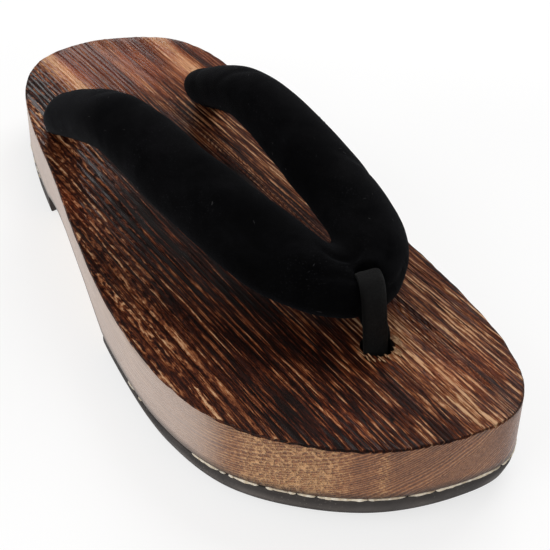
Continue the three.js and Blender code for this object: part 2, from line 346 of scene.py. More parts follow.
def per_vertex(mesh, label):
    """Three numbers for each vertex: its place, or its normal."""
    found = np.empty(len(mesh.vertices) * 3, np.float32)
    mesh.vertices.foreach_get(label, found)
    return found.reshape(-1, 3)


def coordinates(mesh):
    return (per_vertex(mesh, "co") / MM).astype(float)


def normals(mesh):
    return per_vertex(mesh, "normal").astype(float)


def move_to(mesh, points):
    mesh.vertices.foreach_set("co", (points * MM).astype(np.float32).ravel())
    mesh.update()


def store(mesh, name, values):
    mesh.attributes.new(name, "FLOAT", "POINT").data.foreach_set("value", np.asarray(values, np.float32))


def taken_out(piece, label, cutter):
    """A modifier that cuts one closed piece out of another."""
    cut = piece.modifiers.new(label, "BOOLEAN")
    cut.object, cut.operation, cut.solver = cutter, "DIFFERENCE", "EXACT"


def applied(piece):
    """The piece's mesh with its modifiers worked in; the modifiers are taken off."""
    graph = bpy.context.evaluated_depsgraph_get()
    made = bpy.data.meshes.new_from_object(piece.evaluated_get(graph))
    piece.modifiers.clear()
    piece.data = made
    return made


def attach(piece, slot, *nodes):
    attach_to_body(piece, "root")
    if nodes:
        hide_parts(*nodes)
    return piece


# ---- Shader helpers ----

def tone(red, green, blue):
    """A screen colour, 0 to 255, as the light values that a shader takes."""
    parts = (red, green, blue)
    light = [((c / 255 + 0.055) / 1.055) ** 2.4 if c > 10 else c / 255 / 12.92 for c in parts]
    return (*light, 1.0)


def add(tree, kind, inputs=None, **settings):
    """A node with its settings, and its inputs set or linked by name or number."""
    made = tree.nodes.new(kind)
    for name, value in settings.items():
        setattr(made, name, value)
    for key, value in (inputs or {}).items():
        if isinstance(value, bpy.types.NodeSocket):
            tree.links.new(value, made.inputs[key])
        else:
            made.inputs[key].default_value = value
    return made


def joined(kind, inputs, **settings):
    """A node in the same tree as the values that feed it."""
    sockets = (value for value in inputs.values() if isinstance(value, bpy.types.NodeSocket))
    return add(next(sockets).id_data, kind, inputs, **settings)


def maths(operation, a, b=0.0):
    return joined("ShaderNodeMath", {0: a, 1: b}, operation=operation).outputs[0]


def times(a, b):
    return maths("MULTIPLY", a, b)


def mixed(amount, a, b, blend="MIX"):
    node = joined("ShaderNodeMix", {0: amount, 6: a, 7: b}, data_type="RGBA", blend_type=blend)
    return node.outputs[2]


def between(value, low, high, to_low=0.0, to_high=1.0):
    """The value eased from one range to another."""
    inputs = {"Value": value, "From Min": low, "From Max": high, "To Min": to_low, "To Max": to_high}
    return joined("ShaderNodeMapRange", inputs, interpolation_type="SMOOTHSTEP").outputs[0]


def noise(vector, scale, detail=3.0, roughness=0.55, distortion=0.0):
    inputs = {"Vector": vector, "Scale": scale, "Detail": detail, "Roughness": roughness,
              "Distortion": distortion}
    return joined("ShaderNodeTexNoise", inputs).outputs["Fac"]


def tones(value, *stops):
    """A colour ramp from (place, colour) stops."""
    node = joined("ShaderNodeValToRGB", {0: value})
    ramp = node.color_ramp
    while len(ramp.elements) < len(stops):
        ramp.elements.new(0.5)
    for element, (place, colour) in zip(ramp.elements, stops):
        element.position, element.color = place, colour
    return node.outputs[0]


def field(tree, name):
    return add(tree, "ShaderNodeAttribute", attribute_name=name).outputs["Fac"]


def own_point(tree):
    return add(tree, "ShaderNodeTexCoord").outputs["Object"]


def bumped(height, distance, strength=1.0):
    inputs = {"Height": height, "Distance": distance, "Strength": strength}
    return joined("ShaderNodeBump", inputs).outputs[0]


def new_material(name, **sockets):
    """A material with a Principled shader; sockets that are the same all over are set on it."""
    material = bpy.data.materials.new(name)
    material.use_nodes = True
    shader = material.node_tree.nodes["Principled BSDF"]
    for label, value in sockets.items():
        shader.inputs[label.replace("_", " ")].default_value = value
    return material, material.node_tree


def feed(material, **sockets):
    """The material, with values linked to its Principled shader's sockets."""
    tree = material.node_tree
    for label, value in sockets.items():
        tree.links.new(value, tree.nodes["Principled BSDF"].inputs[label.replace("_", " ")])
    return material


def new_group(name, inputs, outputs):
    """A shader node group with named sockets; inputs are (label, kind, value)."""
    made = bpy.data.node_groups.new(name, "ShaderNodeTree")
    for label, kind, value in inputs:
        socket = made.interface.new_socket(label, in_out="INPUT", socket_type="NodeSocket" + kind)
        if value is not None:
            socket.default_value = value
    for label, kind in outputs:
        made.interface.new_socket(label, in_out="OUTPUT", socket_type="NodeSocket" + kind)
    return made, made.nodes.new("NodeGroupInput").outputs, made.nodes.new("NodeGroupOutput").inputs


def use_group(tree, group, **inputs):
    node = add(tree, "ShaderNodeGroup", node_tree=group)
    for label, value in inputs.items():
        socket = node.inputs[label.replace("_", " ")]
        if isinstance(value, bpy.types.NodeSocket):
            tree.links.new(value, socket)
        else:
            socket.default_value = value
    return node.outputs


def hand_out(group, result, values):
    """Links the values to the group's outputs of the same names."""
    for label, value in values.items():
        group.links.new(value, result[label])
    return group


# ---- Shared effects ----

def wood_figure_group():
    """Growth rings, finer lines between them, long fibres, short dashes, open pores, and pale specks of
    painted glint. The
    fibres follow the grain: their points are (place across the grain, y drawn out, z)."""
    group, given, result = new_group(
        "wood_figure",
        [("Rings", "Float", 0.0), ("Across", "Float", 0.0), ("Point", "Vector", None),
         ("Fibre", "Float", 900.0), ("Jitter", "Float", 0.3), ("Mottle", "Float", 0.0)],
        [("Ridge", "Float"), ("Line", "Float"), ("Ring Tint", "Float"), ("Streak", "Float"),
         ("Dash", "Float"), ("Pore", "Float"), ("Fleck", "Float")],
    )
    apart = joined("ShaderNodeSeparateXYZ", {0: given["Point"]}).outputs

    def drawn_out(length):
        shorter = maths("DIVIDE", apart["Y"], length)
        parts = {"X": given["Across"], "Y": shorter, "Z": apart["Z"]}
        return joined("ShaderNodeCombineXYZ", parts).outputs[0]

    def fibres(length, fineness, *detail):
        return noise(drawn_out(length), times(given["Fibre"], fineness), *detail)

    def folded(count):
        """0 at each whole number and 1 halfway between two."""
        return times(maths("PINGPONG", count, 0.5), 2.0)

    shake = maths("SUBTRACT", fibres(34, 0.6), 0.5)
    rings = maths("ADD", given["Rings"], times(shake, given["Jitter"]))
    whole = maths("FLOOR", rings)
    tint = joined("ShaderNodeTexWhiteNoise", {"W": whole}, noise_dimensions="1D")
    pore = fibres(7, 2.2, 1.0)
    long_dash = fibres(26, 0.8, 2.0)
    short_dash = fibres(3.2, 0.75, 2.0)
    change = maths("SUBTRACT", short_dash, long_dash)
    dash = maths("ADD", long_dash, times(change, given["Mottle"]))
    return hand_out(group, result, {
        "Ridge": between(folded(rings), 0.35, 0.9),
        "Line": between(folded(times(rings, 2.37)), 0.45, 0.95),
        "Ring Tint": tint.outputs["Value"],
        "Streak": noise(drawn_out(46), given["Fibre"], 5.0, 0.66),
        "Dash": between(dash, 0.4, 0.6),
        "Pore": between(pore, 0.56, 0.68),
        # Painted highlight: pale specks that stand in for glints of light off the varnish.
        "Fleck": between(pore, 0.44, 0.32),
    })


def dust_group():
    """Small pale specks that gather in loose drifts."""
    group, given, result = new_group(
        "dust", [("Point", "Vector", None), ("Size", "Float", 1500.0), ("Amount", "Float", 0.5)],
        [("Speck", "Float"), ("Drift", "Float")],
    )
    speck = between(noise(given["Point"], given["Size"], 1.0), 0.66, 0.74)
    drift = noise(given["Point"], 45.0, 3.0)
    gathered = times(speck, between(drift, 0.4, 0.65))
    return hand_out(group, result, {"Speck": times(gathered, given["Amount"]), "Drift": drift})


WOOD_FIGURE = wood_figure_group()
DUST = dust_group()


# ---- Materials ----

def figure_of(tree, fibre, jitter, mottle=0.0):
    """The wood figure at this material's own rings and grain, by name in small letters."""
    found = use_group(tree, WOOD_FIGURE, Rings=field(tree, "rings"), Across=field(tree, "across"),
                      Point=own_point(tree), Fibre=fibre, Jitter=jitter, Mottle=mottle)
    return {socket.name.lower().replace(" ", "_"): socket for socket in found}


def summed(tree, values, start, **weights):
    """The start plus each value times its weight. A name that isn't among the values is a
    field that the mesh carries."""
    for name, weight in weights.items():
        value = values[name] if name in values else field(tree, name)
        start = maths("ADD", start, times(value, weight))
    return start


def scorched_top_material():
    """Foot bed: scorched, wire-brushed and lightly varnished. Hard rings are tan and broken
    into dashes, grooves burnt red-brown."""
    material, tree = new_material(
        "scorched_top", Coat_Weight=0.13, Coat_Roughness=0.14, Specular_IOR_Level=0.06)
    figure = figure_of(tree, 1250.0, 0.3, field(tree, "mottle"))
    figure["ridge"] = times(figure["ridge"], figure["dash"])
    figure["line"] = times(figure["line"], figure["dash"])
    # glint lightens pale specks as a painted highlight.
    # scorch darkens burnt places and paints the strap's shade on the bed.
    value = summed(tree, figure, -0.55, ridge=0.42, line=0.24, streak=1.45, ring_tint=0.16, dash=0.1,
                   pore=-0.16, fleck=0.12, band=0.16, pale=0.26, scorch=-0.34)
    calm = summed(tree, figure, 0.6, band=0.16, streak=0.4, scorch=-0.4)
    rubbed = times(field(tree, "polish"), 0.62)
    value = maths("ADD", value, times(maths("SUBTRACT", calm, value), rubbed))
    wood = tones(value, (0.0, tone(16, 4, 2)), (0.26, tone(50, 17, 7)), (0.5, tone(100, 48, 24)),
                 (0.74, tone(160, 100, 62)), (1.0, tone(222, 176, 134)))
    gold = mixed(times(field(tree, "pale"), 0.45), wood, tone(206, 122, 54), "OVERLAY")
    burnt = mixed(field(tree, "rim"), gold, tone(20, 9, 6))
    rough = between(figure["ridge"], 0.0, 1.0, 0.62, 0.36)
    height = summed(tree, figure, 0.0, streak=0.7, ridge=0.5, line=0.3, pore=-0.35)
    return feed(material, Base_Color=burnt, Roughness=rough, Normal=bumped(height, 0.0006))


def varnished_side_material():
    """The block's walls: paler, smooth and varnished, with slanting ring lines; the ends that cross the
    grain are golden and stippled.
    The wall on the little-toe side takes a painted sheen, a painted reflection of the bright room on the
    varnish."""
    material, tree = new_material(
        "varnished_side", Coat_Weight=0.35, Coat_Roughness=0.25, Coat_IOR=1.5, Specular_IOR_Level=0.25)
    figure = figure_of(tree, 1400.0, 0.45)
    point, ends, bright = own_point(tree), field(tree, "end"), field(tree, "bright")
    grit = noise(point, 820.0, 2.0, 0.6)
    stippled = times(ends, field(tree, "stipple"))
    figure["pits"] = times(between(grit, 0.34, 0.66), stippled)
    figure["broad"] = noise(point, 30.0, 4.0)
    # glint lightens pale specks as a painted highlight.
    value = summed(tree, figure, -0.46, ridge=0.32, line=0.07, streak=0.7, ring_tint=0.1, pore=-0.1,
                   fleck=0.08, broad=0.6, pits=0.5, bright=0.16, stipple=0.22)
    wood = tones(value, (0.0, tone(52, 27, 15)), (0.3, tone(98, 60, 36)), (0.6, tone(152, 104, 66)),
                 (1.0, tone(206, 164, 116)))
    golden = mixed(times(ends, 0.16), wood, tone(214, 138, 70), "OVERLAY")
    # Painted reflection: on the little-toe wall, bright lifts the value above and here mixes in a pale
    # greyish pink, as if the varnish mirrored the bright room.
    with_painted_sheen = mixed(times(bright, 0.7), golden, tone(202, 184, 173))
    burnt = mixed(field(tree, "rim"), with_painted_sheen, tone(26, 14, 9))
    height = summed(tree, figure, 0.0, streak=0.5, ridge=0.25, pits=1.6)
    rough = between(figure["streak"], 0.3, 0.7, 0.5, 0.36)
    return feed(material, Base_Color=burnt, Roughness=rough, Normal=bumped(height, 0.0006))


def bare_arch_material():
    """The scooped arch and the seats of the pads: bare cream wood, brown ring lines, burnt patches."""
    material, tree = new_material("bare_arch", Specular_IOR_Level=0.35)
    figure = figure_of(tree, 700.0, 0.4)
    scorch = field(tree, "scorch")
    cream = tones(summed(tree, figure, 0.0, ridge=0.42, streak=0.6, ring_tint=0.2),
                  (0.15, tone(150, 100, 60)), (0.4, tone(206, 166, 120)), (0.65, tone(229, 203, 170)),
                  (1.0, tone(241, 226, 206)))
    smoked = mixed(scorch, cream, tone(112, 78, 62), "MULTIPLY")
    smoked = mixed(times(scorch, 0.55), smoked, tone(122, 88, 72))
    burnt = mixed(field(tree, "rim"), smoked, tone(74, 34, 18))
    return feed(material, Base_Color=burnt, Roughness=between(figure["streak"], 0.3, 0.7, 0.7, 0.52),
                Normal=bumped(figure["streak"], 0.0002, 0.7))


# Plain finishes that follow one fine noise: specular level, the noise's scale and detail, two
# colours with their places in the noise, the range of roughness, and the depth of the bumps:
# the bored holes' walls painted nearly black as painted shade, torn pale wood, dried contact glue, loose
# fibres.
GRAINY = {
    "charred_hole": (0.2, (900.0, 4.0), (0.3, 8, 5, 4), (0.8, 34, 19, 13), (0.2, 0.8, 0.95, 0.8), 0.0004),
    "splinter": (
        0.3, (1500.0, 3.0), (0.3, 126, 84, 56), (0.7, 206, 168, 128), (0.2, 0.8, 0.8, 0.6), 0.0002),
    "dried_glue": (
        0.4, (800.0, 3.0), (0.3, 196, 176, 146), (0.7, 240, 232, 216), (0.3, 0.7, 0.7, 0.45), 0.0003),
    "lint": (0.2, (700.0, 1.0), (0.3, 40, 40, 43), (0.7, 100, 98, 99), (0.3, 0.7, 0.9, 0.8), 0),
}


def grainy_material(name):
    """One of the plain finishes in the table above."""
    specular, grain, dark, light, rough, depth = GRAINY[name]
    material, tree = new_material(name, Specular_IOR_Level=specular)
    grit = noise(own_point(tree), *grain)
    stops = [(place, tone(*colour)) for place, *colour in (dark, light)]
    feed(material, Base_Color=tones(grit, *stops), Roughness=between(grit, *rough))
    return feed(material, Normal=bumped(grit, depth)) if depth else material


def rubber_material():
    """Tread rubber: matte charcoal, faintly mottled, greyed where it was scuffed and dusty."""
    material, tree = new_material("tread_rubber", Specular_IOR_Level=0.35)
    point = own_point(tree)
    dust = use_group(tree, DUST, Point=point, Size=1700.0, Amount=0.5)
    pebble = noise(point, 2600.0, 3.0, 0.7)
    patchy = noise(point, 120.0, 5.0, 0.65)
    black = tones(patchy, (0.3, tone(38, 34, 32)), (0.7, tone(60, 54, 51)))
    scuffed = mixed(times(field(tree, "scuff"), 0.4), black, tone(118, 108, 102))
    dusty = mixed(dust["Speck"], scuffed, tone(150, 142, 134))
    rough = between(dust["Drift"], 0.3, 0.7, 0.66, 0.86)
    return feed(material, Base_Color=dusty, Roughness=rough, Normal=bumped(pebble, 0.00012, 0.8))


def velvet_material():
    """Black velvet: deep and matte, with a nap that is brushed two ways and a faint cool sheen."""
    material, tree = new_material(
        "strap_velvet", Specular_IOR_Level=0.03, Sheen_Weight=0.055, Sheen_Roughness=0.4,
        Sheen_Tint=tone(165, 170, 182))
    point = own_point(tree)
    dust = use_group(tree, DUST, Point=point, Size=2300.0, Amount=0.14)
    nap = noise(point, 60.0, 4.0, 0.6, 0.6)
    pile = noise(point, 4200.0, 2.0, 0.8)
    brushed = tones(nap, (0.32, tone(3, 3, 4)), (0.5, tone(6, 6, 7)), (0.7, tone(12, 12, 14)))
    roots = mixed(0.6, brushed, tone(2, 2, 2))
    depth = mixed(between(pile, 0.35, 0.6), roots, brushed)
    linty = mixed(dust["Speck"], depth, tone(96, 96, 100))
    height = maths("ADD", pile, times(nap, 0.8))
    return feed(material, Base_Color=linty, Roughness=between(nap, 0.3, 0.7, 0.98, 0.86),
                Normal=bumped(height, 0.00022, 0.7))


def satin_material():
    """Thong cloth: a fine twill whose ribs cross the band slantwise, a little glossier than velvet."""
    material, tree = new_material(
        "thong_satin", Specular_IOR_Level=0.12, Sheen_Weight=0.03, Sheen_Roughness=0.35,
        Sheen_Tint=tone(170, 168, 168))
    flat = add(tree, "ShaderNodeUVMap", uv_map="band").outputs[0]
    turned = {"Vector": flat, "Rotation": (0, 0, math.radians(38))}
    slant = joined("ShaderNodeMapping", turned).outputs[0]
    wave = {"Vector": slant, "Scale": 42.0, "Distortion": 0.6, "Detail": 1.0}
    rib = joined("ShaderNodeTexWave", wave).outputs["Fac"]
    fibre = noise(own_point(tree), 1800.0, 3.0)
    worn = mixed(between(fibre, 0.4, 0.75), tone(4, 4, 4), tone(11, 10, 10))
    ribbed = mixed(times(rib, 0.5), worn, tone(3, 3, 3))
    height = maths("ADD", rib, times(fibre, 0.5))
    return feed(material, Base_Color=ribbed, Roughness=between(fibre, 0.3, 0.7, 0.62, 0.46),
                Normal=bumped(height, 0.00014, 0.7))


# ---- Wooden block ----

WOOD_STATIONS, TOP_COLUMNS, WALL_ROWS, UNDER_COLUMNS = 305, 288, 6, 16
TOP_CORNER, UNDER_CORNER = 0.7, 0.45
EDGE_CROWDING = 0.12  # how far the foot bed's columns crowd towards its edges
RING_BREAKS = 0.38  # how much a hard ring's height varies along the grain
SCRATCH_DEPTH, POLISH_LEVELS = 0.08, 0.6  # brush scratches, and how much of it all the heel wore off


def corner_drop(radius, distance):
    """How far a rounded corner falls away at a distance from the edge: a quarter circle."""
    reach = np.clip(radius - distance, 0, radius)
    return radius - np.sqrt(radius**2 - reach**2)


def block_surface():
    """Loops across the block at y = -half length x cos(angle): the foot bed with its brushed
    relief, one wall, the underside, the other wall. The end loops shrink to the tips."""
    y = (-HALF * np.cos(np.linspace(0, np.pi, WOOD_STATIONS)))[:, None]
    left, right = breadths(y)
    share = np.linspace(0, 1, TOP_COLUMNS)
    share = (1 - EDGE_CROWDING) * share + EDGE_CROWDING * (1 - np.cos(np.pi * share)) / 2
    x = left + (right - left) * share
    edge = edge_distance(x, y + 0 * x)
    ragged = TOP_CORNER * (1 + 0.45 * noise2(21, x / 3 + 40, y / 3 + 50))
    rough = top_height(y)
    rings = ring_count(x, y, rough + 0 * x)
    broken = 1 - RING_BREAKS + RING_BREAKS * noise2(23, grain_x(x, y) / 1.7 + 60, y / 13 + 20)
    relief = RELIEF_DEPTH * (1 - ring_relief(rings) * broken)
    relief += SCRATCH_DEPTH * noise2(22, grain_x(x, y) / 0.9 + 80, y / 9 + 30)
    relief *= 1 - POLISH_LEVELS * heel_polish(x, y)
    top_z = rough - corner_drop(ragged, edge) - relief
    under_x = right + (left - right) * np.linspace(0, 1, UNDER_COLUMNS)
    under_z = underside_height(y) + corner_drop(UNDER_CORNER, edge_distance(under_x, y + 0 * under_x))
    climb = np.linspace(0, 1, WALL_ROWS + 2)[1:-1]
    right_z = top_z[:, -1:] + (under_z[:, :1] - top_z[:, -1:]) * climb
    left_z = under_z[:, -1:] + (top_z[:, :1] - under_z[:, -1:]) * climb
    across = np.hstack([x, right + 0 * right_z, under_x, left + 0 * left_z])
    height = np.hstack([top_z, right_z, under_z, left_z])
    return np.stack([across, y + 0 * across, height], axis=-1)


def block_faces_kind():
    """Which finish each column of faces takes: 0 foot bed, 1 wall, 2 underside."""
    columns = (TOP_COLUMNS - 1, WALL_ROWS + 1, UNDER_COLUMNS - 1, WALL_ROWS + 1)
    return np.tile(np.repeat((0, 1, 2, 1), columns), WOOD_STATIONS - 1)


def hole_cutter():
    """Three upright drills, one for each hole, as closed tubes."""
    turn = full_turn(48)
    holes = [(*hole, REAR_HOLE_R) for hole in REAR_HOLES] + [(*FRONT_HOLE, FRONT_HOLE_R)]
    levels = np.array([0.0, 14.0, 23.0, 40.0])
    tubes = []
    for x, y, radius in holes:
        rough = radius * (1 + 0.012 * np.sin(5 * turn + x) + 0.01 * np.sin(9 * turn))
        circle = np.stack([x + rough * np.cos(turn), y + rough * np.sin(turn), 0 * turn], axis=-1)
        tubes.append(circle[None] + levels[:, None, None] * np.array([0, 0, 1]))
    points, faces = many_tubes(np.array(tubes))
    # The holes' walls take finish 3, painted nearly black as painted shade.
    hole_wall = 3
    return new_piece(new_mesh("hole_cutter", points, faces, [hole_wall] * len(faces)), [])


def wood_block():
    surface = block_surface()
    rows, columns, _ = surface.shape
    mesh = new_mesh("wood_block", surface.reshape(-1, 3), tube_faces(rows, columns, capped=False),
                    block_faces_kind())
    finishes = [scorched_top_material(), varnished_side_material(), bare_arch_material(),
                grainy_material("charred_hole")]
    block = new_piece(mesh, finishes)
    cutter = hole_cutter()
    taken_out(block, "holes", cutter)
    mesh = applied(block)
    bpy.data.objects.remove(cutter)
    x, y, z = coordinates(mesh).T
    rings = ring_count(x, y, z)
    end, bright = side_masks(x, y)
    band = noise2(52, rings / 5.5 + 70, y / 95 + 40) + 0.5 * noise2(53, rings / 2.2 + 20, y / 60 + 9)
    fields = {
        "rings": rings, "across": grain_x(x, y) * MM, "end": end, "bright": bright,
        "stipple": 0.1 + 0.9 * patch(x, y, -27, -116, 24, 40, 46), "polish": heel_polish(x, y),
        "mottle": 0.75 * (1 - ease(-44, -14, x - 0.1 * y)), "band": band * (1 + 1.1 * ease(55, 95, y)),
        "scorch": scorch_at(x, y, z), "pale": strongest(x, y, WORN_AND_SHEEN_BED), "rim": rim_at(x, y, z),
    }
    for name, values in fields.items():
        store(mesh, name, values)
    return attach(block, "scorched_wood", "wood_base")


def side_masks(x, y):
    """How far the wall faces along the grain, and how far it faces the little-toe side, which takes a
    painted sheen.
    """
    left, right = breadths(y)
    on_left = x < (left + right) / 2
    left_slope, right_slope = (np.interp(y, SLOPE_Y, slope) for slope in (LEFT_SLOPE, RIGHT_SLOPE))
    facing = 1 / np.hypot(1, np.where(on_left, left_slope, right_slope))
    return ease(0.05, 0.55, 1 - facing**2), np.where(on_left, ease(0.82, 0.99, facing), 0)


def scorch_at(x, y, z):
    """Burnt places: on the foot bed the heel's outer side and the middle of the forefoot, and below it a
    band across the arch.
    On the foot bed it also paints the strap's shade, under and between its arms."""
    below = z < underside_height(y) + 1.5
    return np.where(below, strongest(x, y, BURNT_ARCH), strongest(x, y, BURNT_AND_SHADED_BED))


def rim_at(x, y, z):
    """The torch's dark line along the top corner, a wider burn round the underside, and one
    small burnt nick at the toe."""
    edge = edge_distance(x, y)
    fray = 0.5 + 0.5 * noise2(51, x / 4 + 60, y / 4 + 60)
    down = 1 - ease(0.3, 1.0 + 0.8 * fray, top_height(y) - z)
    top = (1 - ease(0.05, 0.5 + 0.6 * fray, edge)) * down
    arch_near = np.minimum(np.abs(y - HEEL_PAD_FRONT_Y), 3 + np.abs(y - FORE_PAD_REAR_Y))
    under = 1 - ease(0.5, 4 + 3 * fray, np.minimum(edge * 1.3, arch_near))
    below = under * (1 - ease(0.4, 1.6, z - underside_height(y)))
    nick = 1 - ease(0.5, 1.1, np.hypot(x - 3.5, y + 120.6))
    return np.clip(np.maximum(np.maximum(0.65 * top, nick), 0.85 * below), 0, 1)


# ---- Treads ----

PAD_STATIONS = 180
STUD_HEIGHT = 0.45
STUD_GRID_REACH = 90  # studs to each side of the pattern's middle, before it is trimmed


def pad_surface(bevel):
    """Levels of the outline from the roof's middle line, out over the edge, down the wall and
    the bevel, and in to the tread's middle line. Each level is the outline moved in along its
    normals; a share of 0 draws it together on the middle line."""
    y = -HALF * np.cos(np.linspace(0, np.pi, PAD_STATIONS))
    left, right = breadths(y)
    ring = np.vstack([np.stack([right, y], -1), np.stack([left, y], -1)[::-1]])
    along = unit(np.roll(RING, -2, 0) - np.roll(RING, 2, 0))
    place = [np.argmin(np.hypot(*(RING - p).T)) for p in ring]
    inward = np.stack([-along[place, 1], along[place, 0]], -1)
    wall, tread_in = PAD_WALL_INSET, bevel + 1.6
    levels = (
        (0, 0.5, PAD_ROOF), (0.5, 0.5, PAD_ROOF), (1, 0.5, PAD_ROOF), (1, wall + 0.05, PAD_ROOF - 0.2),
        (1, wall, PAD_ROOF - 0.6), (1, wall, PAD_BEVEL_Z + 0.5), (1, wall + 0.1 * bevel, PAD_BEVEL_Z - 0.5),
        (1, 0.55 * bevel, 2.2), (1, 0.85 * bevel, 0.9), (1, bevel, 0.35), (1, bevel + 0.5, 0.12),
        (1, tread_in, STUD_HEIGHT), (0.75, tread_in, STUD_HEIGHT), (0.4, tread_in, STUD_HEIGHT),
        (0, tread_in, STUD_HEIGHT),
    )
    rows = []
    for share, inset, z in levels:
        edge_ring = ring + inward * inset
        line = (edge_ring + edge_ring[::-1]) / 2
        flat = line + (edge_ring - line) * share
        wave = 0.06 * noise2(61, flat[:, 0] / 9 + 30, flat[:, 1] / 9 + 30) * (share == 1)
        rows.append(np.column_stack([flat, z + toe_rise(flat[:, 1]) + wave]))
    return np.array(rows)


def cut_square(mesh, y, keep_beyond):
    """Cuts a closed mesh at y, keeps one side and closes the cut with one face."""
    bm = bmesh.new()
    bm.from_mesh(mesh)
    parts = bm.verts[:] + bm.edges[:] + bm.faces[:]
    bmesh.ops.bisect_plane(bm, geom=parts, plane_co=(0, y * MM, 0), plane_no=(0, 1, 0),
                           clear_inner=keep_beyond, clear_outer=not keep_beyond)
    bmesh.ops.edgeloop_fill(bm, edges=[e for e in bm.edges if e.is_boundary])
    write_back(bm, mesh)


def studs(y_from, y_to, pitch_u, pitch_v, half_u, half_v, turn_deg, border):
    """Closed little blocks in a slanting grid, kept clear of the tread's border. Each narrows
    to seven tenths of its root at the ground."""
    turn = math.radians(turn_deg)
    count = np.arange(-STUD_GRID_REACH, STUD_GRID_REACH)
    u, v = np.meshgrid(count, count)
    u = (u + 0.5 * (v % 2)) * pitch_u
    v = v * pitch_v
    middle_y = (y_from + y_to) / 2
    x = (u * math.cos(turn) - v * math.sin(turn)).ravel()
    y = (u * math.sin(turn) + v * math.cos(turn)).ravel() + middle_y
    kept = (y > y_from) & (y < y_to) & (edge_distance(x, y) > border)
    x, y = x[kept], y[kept]
    corner = np.array([(-1, -1), (1, -1), (1, 1), (-1, 1)], float) * (half_u, half_v)
    cos, sin = math.cos(turn), math.sin(turn)
    corner = corner @ np.array([[cos, sin], [-sin, cos]])
    loops = []
    for scale, z in ((1.0, STUD_HEIGHT + 0.15), (0.95, 0.5 * STUD_HEIGHT), (0.7, 0.0)):
        place = np.stack([x, y], -1)[:, None] + corner * scale
        height = z + toe_rise(y)[:, None, None] + 0 * place[..., :1]
        loops.append(np.concatenate([place, height], -1))
    return many_tubes(np.stack(loops, axis=1))


def tread(name, node, bevel, cut_y, keep_beyond, pattern):
    surface = pad_surface(bevel)
    rows, columns, _ = surface.shape
    body = new_mesh(name, surface.reshape(-1, 3), tube_faces(rows, columns, capped=False))
    cut_square(body, cut_y, keep_beyond)
    pattern_mesh = new_mesh(name + "_pattern", *pattern)
    bm = bmesh.new()
    bm.from_mesh(body)
    bm.from_mesh(pattern_mesh)
    bm.to_mesh(body)
    bm.free()
    x, y, z = coordinates(body).T
    ring = 1 - ease(0.2, 2.2, np.abs(z - toe_rise(y) - 2.4))
    store(body, "scuff", np.clip(ring * (0.5 + 0.7 * noise2(62, x / 8 + 40, y / 8 + 40)), 0, 1))
    return attach(new_piece(body, [rubber_material()], 30), "tread_rubber", node)


GLUE_BEADS = 420  # before those away from the pads are dropped
GLUE_TOE_END_Y = -95  # every bead stays up to here; behind it only some of them do
GLUE_SHARE_FORE, GLUE_SHARE_HEEL = 0.3, 0.26
GLUE_BURIED = 0.25  # how far a bead's middle lies inside the wall


def glue_line():
    """Beads along the joint over each pad: each follows the outline for its own length and
    swells and thins like a spindle. They crowd round the toe."""
    rng = np.random.default_rng(71)
    step = np.hypot(*(np.roll(RING, -1, 0) - RING).T)
    length = np.concatenate([[0], np.cumsum(step)])
    closed = np.vstack([RING, RING[:1]])
    start = rng.uniform(0, length[-1], GLUE_BEADS)
    half = rng.uniform(0.5, 1, GLUE_BEADS) ** 2 * 3.6
    y_at = np.interp(start, length, closed[:, 1])
    behind = np.where(y_at < FORE_PAD_REAR_Y - 4, GLUE_SHARE_FORE, GLUE_SHARE_HEEL)
    crowd = np.where(y_at < GLUE_TOE_END_Y, 1.0, behind)
    over_pad = (y_at < FORE_PAD_REAR_Y - 5) | (y_at > HEEL_PAD_FRONT_Y + 5)
    keep = (rng.uniform(0, 1, GLUE_BEADS) < crowd) & over_pad
    start, half = start[keep], half[keep]
    t = np.linspace(0, 1, 9)
    along = (start[:, None] + half[:, None] * (2 * t - 1)) % length[-1]
    x, y = (np.interp(along, length, closed[:, k]) for k in (0, 1))
    out = unit(np.stack([x, y - np.clip(y, -85, 100)], -1))
    swell = np.sin(np.pi * t) ** 0.5 * (1 + 0.3 * noise2(72, along / 1.3, start[:, None] + 0 * along))
    tall = rng.uniform(0.22, 0.5, len(start)) + 0.2 * (rng.uniform(0, 1, len(start)) > 0.7)
    height = swell * tall[:, None]
    turn = full_turn(6)
    depth = -GLUE_BURIED + 0.42 * swell[..., None] * np.cos(turn)
    z = WOOD_BOTTOM - 0.15 + toe_rise(y)[..., None] + height[..., None] * np.sin(turn)
    place = np.stack([x, y], -1)[:, :, None] + out[:, :, None] * depth[..., None]
    mesh = new_mesh("glue_line", *many_tubes(np.concatenate([place, z[..., None]], -1)))
    return attach(new_piece(mesh, [grainy_material("dried_glue")], 60), "tread_rubber")


# ---- Padded strap ----

SIDES = ("left", "right")
ARM_ROW_COUNT, ARM_SIDES = 70, 30
TUCK = -0.3  # how much slimmer the cover is than the arm before it is filled; below 0, stouter
VOXEL = 1.4
PUFF_FRAMES, PUFF_PRESSURE, PUFF_STIFFNESS, PUFF_CAP = 20, 7, 6, 2.0
HOLD_ABOVE_BED = 3.0


